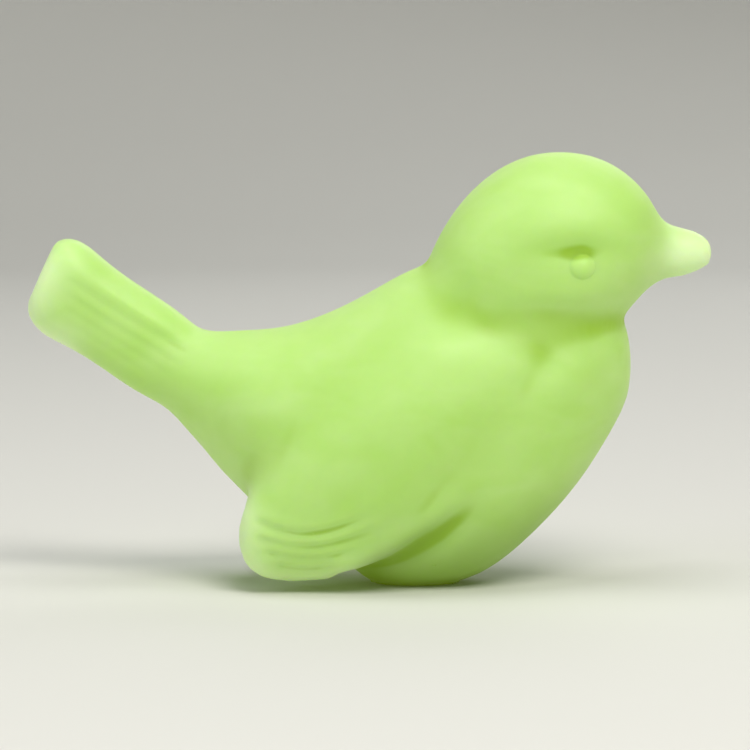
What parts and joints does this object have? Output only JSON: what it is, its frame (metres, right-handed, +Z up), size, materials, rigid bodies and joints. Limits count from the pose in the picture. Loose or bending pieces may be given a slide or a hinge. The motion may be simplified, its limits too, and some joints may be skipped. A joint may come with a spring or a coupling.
{
  "type": "bird figurine",
  "caption": "Solid pressed glass bird ornament with a satin finish, plump breast, drooping wing tips and a raised square-cut tail, standing on a flat ground base",
  "frame": {"origin": "centre of the flat ground base under the belly, on the plane of the table", "axes": "+X points from the tail to the beak, +Y to the bird's left side, +Z up; both sides of the XZ plane are alike"},
  "size_m": [0.1642, 0.0616, 0.1036],
  "materials": {
    "satin_glass": "translucent lime-green pressed glass, acid-etched to a satin surface, with a faint glow of its own"
  },
  "bodies": {
    "root": {"glass_bird": "satin_glass"}
  },
  "joints": []
}
